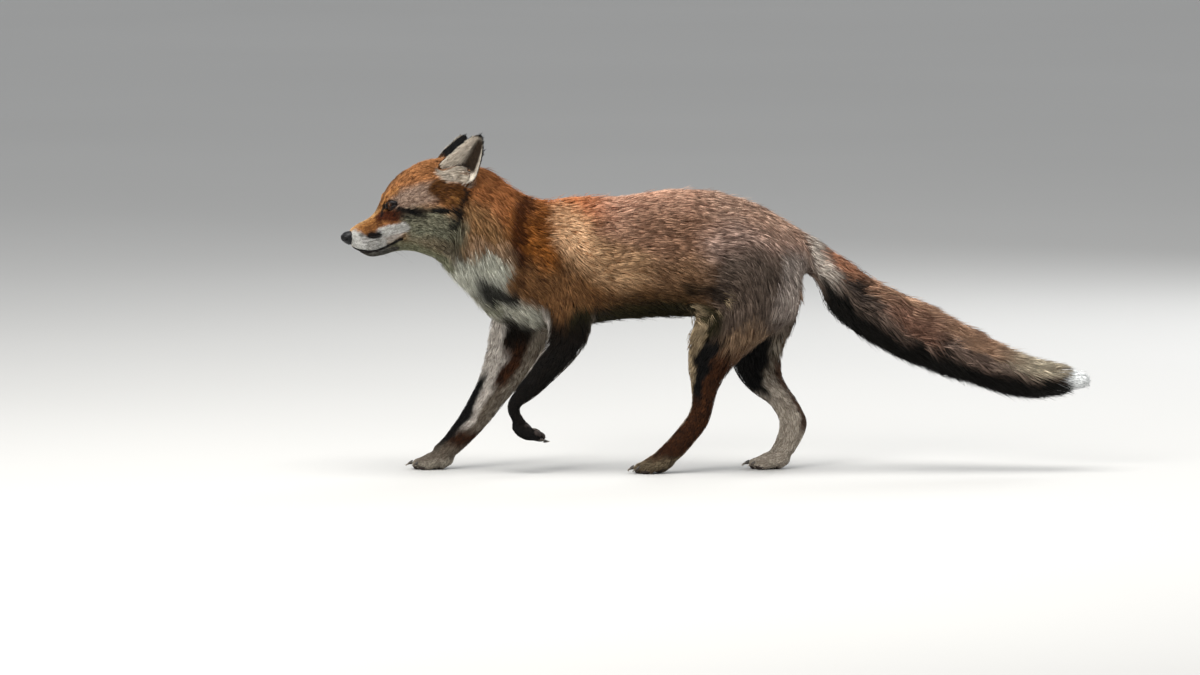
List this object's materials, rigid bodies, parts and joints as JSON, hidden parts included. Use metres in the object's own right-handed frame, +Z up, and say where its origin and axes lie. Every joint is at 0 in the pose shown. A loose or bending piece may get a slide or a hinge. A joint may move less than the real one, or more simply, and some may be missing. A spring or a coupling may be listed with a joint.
{
  "type": "red fox",
  "caption": "Adult red fox at a trot, head low and forward, brushy tail trailing, one front paw lifted, the other three on the floor.",
  "frame": {"origin": "middle of the fox's bounding box, at the floor under its paws", "axes": "the nose points to -X and the tail to +X, the fox's left side is -Y, +Z up"},
  "size_m": [0.933, 0.1304, 0.4243],
  "materials": {
    "fur_russet": "soft fur, russet grizzled with grey and black",
    "fur_dark": "soft fur, dark brown to black",
    "fur_white": "soft fur, off-white",
    "nose_leather": "moist, pebbled",
    "eye": "wet, polished"
  },
  "bodies": {
    "root": {"head": "fur_russet", "neck": "fur_russet", "trunk": "fur_russet", "tail": "fur_dark", "tail_tip": "fur_white", "leg_front_left": "fur_dark", "leg_front_right": "fur_dark", "leg_hind_left": "fur_dark", "leg_hind_right": "fur_dark", "paw_front_left": "fur_dark", "paw_front_right": "fur_dark", "paw_hind_left": "fur_dark", "paw_hind_right": "fur_dark", "ear_left": "fur_dark", "ear_right": "fur_dark", "eye_left": "eye", "eye_right": "eye", "nose": "nose_leather"}
  },
  "joints": []
}
